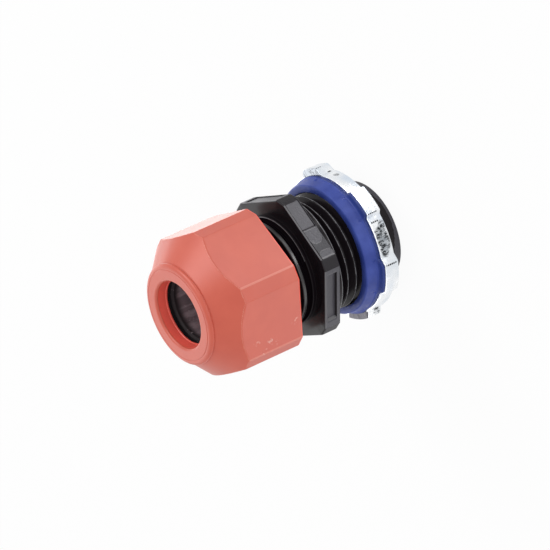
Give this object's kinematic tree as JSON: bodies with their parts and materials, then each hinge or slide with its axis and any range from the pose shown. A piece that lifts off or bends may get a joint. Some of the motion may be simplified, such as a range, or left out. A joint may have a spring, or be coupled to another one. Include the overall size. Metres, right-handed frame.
{
  "type": "strain relief cord connector",
  "caption": "Nylon strain relief connector: a dome nut squeezes a rubber bushing round a cord, and a pipe thread with sealing ring and locknut holds it in a panel.",
  "frame": {"origin": "centre of the flat end of the pipe thread, which the connector stands on", "axes": "+Z along the axis of the passage, from the pipe thread to the dome nut; +X square to one flat of the body's hexagon"},
  "size_m": [0.0282, 0.0278, 0.0421],
  "materials": {
    "black_nylon": "moulded, satin",
    "red_nylon": "moulded, satin",
    "washer_nylon": "smooth",
    "black_rubber": "matt, dusty bore",
    "blue_seal": "smooth, slightly glossy",
    "plated_steel": "bright zinc plating"
  },
  "bodies": {
    "body": {"gland_body": "black_nylon", "cable_bushing": "black_rubber"},
    "nut_travel": {"friction_ring": "washer_nylon"},
    "nut": {"dome_nut": "red_nylon"},
    "locknut_travel": {"sealing_ring": "blue_seal"},
    "locknut": {"locknut": "plated_steel"}
  },
  "joints": [
    {"name": "nut_slide", "type": "slide", "parent": "body", "child": "nut_travel", "axis": [0, 0, 1], "range_m": [-0.00375, 0.003], "deforming": ["cable_bushing"]},
    {"name": "nut_turn", "type": "hinge", "parent": "nut_travel", "child": "nut", "pos_m": [0, 0, 0.0335], "axis": [0, 0, 1], "range_deg": [-900, 720]},
    {"name": "locknut_slide", "type": "slide", "parent": "body", "child": "locknut_travel", "axis": [0, 0, 1], "range_m": [-0.00363, 0.00453]},
    {"name": "locknut_turn", "type": "hinge", "parent": "locknut_travel", "child": "locknut", "pos_m": [0, 0, 0.0059], "axis": [0, 0, 1], "range_deg": [-720, 900]}
  ],
  "couplings": [
    {"joint": "nut_slide", "follows": "nut_turn", "m_per_rad": 0.00023873},
    {"joint": "locknut_slide", "follows": "locknut_turn", "m_per_rad": 0.00028871}
  ]
}
